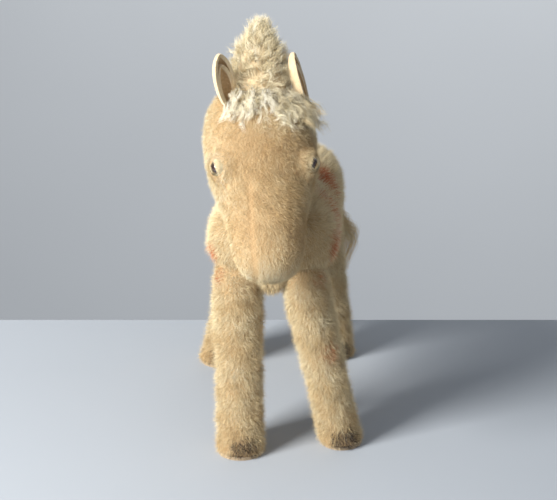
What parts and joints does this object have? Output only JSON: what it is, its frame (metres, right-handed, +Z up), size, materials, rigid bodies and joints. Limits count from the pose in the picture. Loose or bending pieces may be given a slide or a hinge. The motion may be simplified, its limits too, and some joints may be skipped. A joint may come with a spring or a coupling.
{
  "type": "plush foal",
  "caption": "Standing plush foal with jointed legs, nodding neck, turning head, felt ears, glass eyes and bushy forelock.",
  "frame": {"origin": "on the floor, under the middle of the whole foal's box", "axes": "+Z up, the foal faces -Y, +X is its own left side"},
  "size_m": [0.0884, 0.1898, 0.2],
  "materials": {
    "short_mohair": "short cream mohair pile",
    "long_mohair": "long pale mohair locks",
    "ear_felt": "wool felt, matt",
    "sole_felt": "wool felt, matt",
    "eye_glass": "polished dark glass bead",
    "wire": "drawn steel wire",
    "stuffing": "packed wood wool",
    "thread": "waxed cotton thread"
  },
  "bodies": {
    "torso": {"belly_gusset": "short_mohair", "chest_gusset": "short_mohair", "closing_stitches": "thread", "hip_wire": "wire", "shoulder_wire": "wire", "torso_panel_left": "short_mohair", "torso_panel_right": "short_mohair", "torso_stuffing": "stuffing"},
    "neck": {"mane_crest": "long_mohair", "neck_panel_left": "short_mohair", "neck_panel_right": "short_mohair", "neck_stuffing": "stuffing", "neck_wire": "wire"},
    "head": {"cheek_panel_left": "short_mohair", "cheek_panel_right": "short_mohair", "eye_left": "eye_glass", "eye_right": "eye_glass", "eye_shank_left": "wire", "eye_shank_right": "wire", "face_gusset": "short_mohair", "head_stuffing": "stuffing", "jaw_panel_left": "short_mohair", "jaw_panel_right": "short_mohair", "mane_topknot": "long_mohair"},
    "ear_left": {"ear_left_inner": "ear_felt", "ear_left_outer": "ear_felt"},
    "ear_right": {"ear_right_inner": "ear_felt", "ear_right_outer": "ear_felt"},
    "leg_front_left": {"front_left_inner_panel": "short_mohair", "front_left_outer_panel": "short_mohair", "front_left_sole": "sole_felt", "front_left_stuffing": "stuffing", "front_left_wire": "wire"},
    "leg_front_right": {"front_right_inner_panel": "short_mohair", "front_right_outer_panel": "short_mohair", "front_right_sole": "sole_felt", "front_right_stuffing": "stuffing", "front_right_wire": "wire"},
    "leg_rear_left": {"rear_left_inner_panel": "short_mohair", "rear_left_outer_panel": "short_mohair", "rear_left_sole": "sole_felt", "rear_left_stuffing": "stuffing", "rear_left_wire": "wire"},
    "leg_rear_right": {"rear_right_inner_panel": "short_mohair", "rear_right_outer_panel": "short_mohair", "rear_right_sole": "sole_felt", "rear_right_stuffing": "stuffing", "rear_right_wire": "wire"},
    "tail": {"tail_hair": "long_mohair", "tail_root": "thread"}
  },
  "joints": [
    {"name": "neck_nod", "type": "hinge", "parent": "torso", "child": "neck", "pos_m": [0.00076, -0.02716, 0.108], "axis": [1, 0, 0], "range_deg": [-14, 3]},
    {"name": "head_turn", "type": "hinge", "parent": "neck", "child": "head", "pos_m": [-0.0029, -0.03799, 0.14841], "axis": [-0.0872, -0.2578, 0.9623], "range_deg": [-18, 18]},
    {"name": "ear_left_flap", "type": "hinge", "parent": "head", "child": "ear_left", "pos_m": [0.01541, -0.03924, 0.16886], "axis": [0.9781, 0.2079, 0], "range_deg": [-25, 10], "stiffness_Nm_per_rad": 0.002},
    {"name": "ear_right_flap", "type": "hinge", "parent": "head", "child": "ear_right", "pos_m": [-0.0171, -0.05225, 0.17097], "axis": [0.9781, 0.2079, 0], "range_deg": [-25, 10], "stiffness_Nm_per_rad": 0.002},
    {"name": "shoulder_right", "type": "hinge", "parent": "torso", "child": "leg_front_right", "pos_m": [-0.01474, -0.04316, 0.081], "axis": [1, 0, 0], "range_deg": [-12, 12]},
    {"name": "shoulder_left", "type": "hinge", "parent": "torso", "child": "leg_front_left", "pos_m": [0.01626, -0.04316, 0.081], "axis": [1, 0, 0], "range_deg": [-12, 12]},
    {"name": "hip_right", "type": "hinge", "parent": "torso", "child": "leg_rear_right", "pos_m": [-0.01474, 0.04484, 0.08], "axis": [1, 0, 0], "range_deg": [-12, 12]},
    {"name": "hip_left", "type": "hinge", "parent": "torso", "child": "leg_rear_left", "pos_m": [0.01626, 0.04484, 0.08], "axis": [1, 0, 0], "range_deg": [-12, 12]},
    {"name": "tail_lift", "type": "hinge", "parent": "torso", "child": "tail", "pos_m": [0.00226, 0.06954, 0.106], "axis": [1, 0, 0], "range_deg": [0, 60]}
  ]
}
